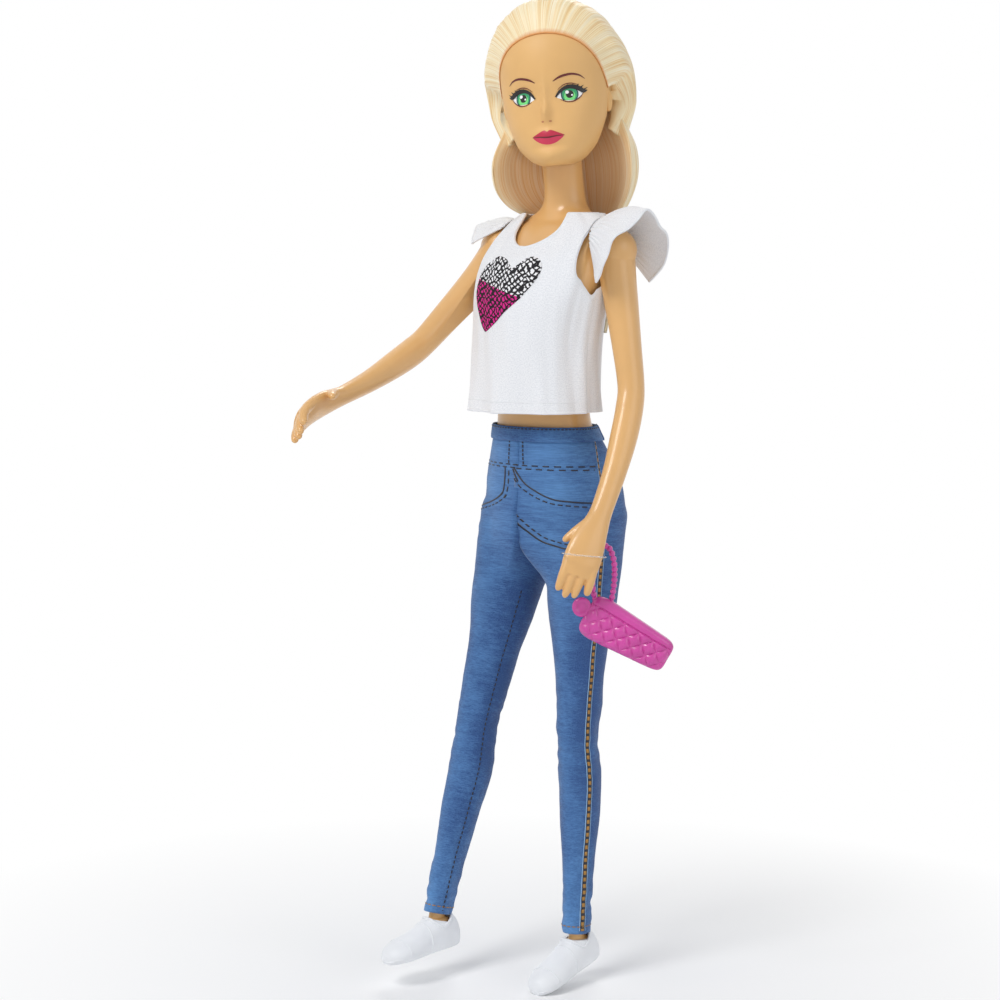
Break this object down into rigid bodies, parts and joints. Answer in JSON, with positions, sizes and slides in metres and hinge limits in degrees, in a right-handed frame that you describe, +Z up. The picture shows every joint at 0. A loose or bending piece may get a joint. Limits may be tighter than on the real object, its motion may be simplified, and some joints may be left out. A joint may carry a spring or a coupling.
{
  "type": "fashion doll",
  "caption": "Jointed fashion doll in a cropped tee, printed jeans and low shoes, with a small quilted handbag tied to one wrist.",
  "frame": {"origin": "centre of the bounding box, at the height of the lowest toe", "axes": "+Z up along the doll's height, the body faces -Y, the doll's left is +X"},
  "size_m": [0.0866, 0.1102, 0.287],
  "materials": {
    "body_vinyl": "satin moulded vinyl",
    "head_vinyl": "matte soft vinyl with printed face",
    "hair": "straight combed fibre",
    "shirt_cloth": "fine knit with a printed heart",
    "denim_print": "knit printed as worn denim",
    "closure_tape": "hook and loop tape",
    "shoe_vinyl": "plain soft vinyl",
    "bag_vinyl": "glossy soft vinyl",
    "clear_thread": "clear filament"
  },
  "bodies": {
    "torso": {"torso_front": "body_vinyl", "torso_back": "body_vinyl", "shirt_front": "shirt_cloth", "shirt_back_left": "shirt_cloth", "shirt_back_right": "shirt_cloth", "shirt_hook_strip": "closure_tape", "shirt_loop_strip": "closure_tape", "jeans_seat": "denim_print", "jeans_waistband": "denim_print", "jeans_hook_strip": "closure_tape", "jeans_loop_strip": "closure_tape"},
    "neck": {"neck_knob": "body_vinyl"},
    "head": {"head": "head_vinyl", "hair_crown": "hair", "hair_fall": "hair"},
    "left_arm": {"left_arm": "body_vinyl", "left_sleeve": "shirt_cloth", "wrist_thread": "clear_thread"},
    "right_arm": {"right_arm": "body_vinyl", "right_sleeve": "shirt_cloth"},
    "left_leg": {"left_leg": "body_vinyl", "left_hip_plug": "body_vinyl", "left_jeans_leg": "denim_print", "left_shoe": "shoe_vinyl"},
    "right_leg": {"right_leg": "body_vinyl", "right_hip_plug": "body_vinyl", "right_jeans_leg": "denim_print", "right_shoe": "shoe_vinyl"},
    "handbag": {"handbag": "bag_vinyl"}
  },
  "joints": [
    {"name": "head_turn", "type": "hinge", "parent": "torso", "child": "neck", "pos_m": [-0.0069, 0.03452, 0.24827], "axis": [0, 0, 1], "range_deg": [-100, 40], "deforming": ["hair_fall"]},
    {"name": "head_nod", "type": "hinge", "parent": "neck", "child": "head", "pos_m": [-0.0069, 0.03452, 0.24827], "axis": [0.866, 0.5, 0], "range_deg": [-7, 7]},
    {"name": "left_shoulder_swing", "type": "hinge", "parent": "torso", "child": "left_arm", "pos_m": [0.0114, 0.03352, 0.21587], "axis": [0.9728, -0.1022, 0.2079], "range_deg": [-120, 30]},
    {"name": "right_shoulder_swing", "type": "hinge", "parent": "torso", "child": "right_arm", "pos_m": [-0.0252, 0.03352, 0.21587], "axis": [-0.9728, -0.1022, 0.2079], "range_deg": [-73, 77]},
    {"name": "left_hip_swing", "type": "hinge", "parent": "torso", "child": "left_leg", "pos_m": [-0.0013, 0.03132, 0.14187], "axis": [0.9659, 0, -0.2588], "range_deg": [-65, 24]},
    {"name": "right_hip_swing", "type": "hinge", "parent": "torso", "child": "right_leg", "pos_m": [-0.0125, 0.03132, 0.14187], "axis": [-0.9659, 0, -0.2588], "range_deg": [-35, 54]},
    {"name": "bag_swing", "type": "hinge", "parent": "left_arm", "child": "handbag", "pos_m": [0.0281, 0.01302, 0.12917], "axis": [0.682, -0.7314, 0], "range_deg": [-25, 75]}
  ]
}
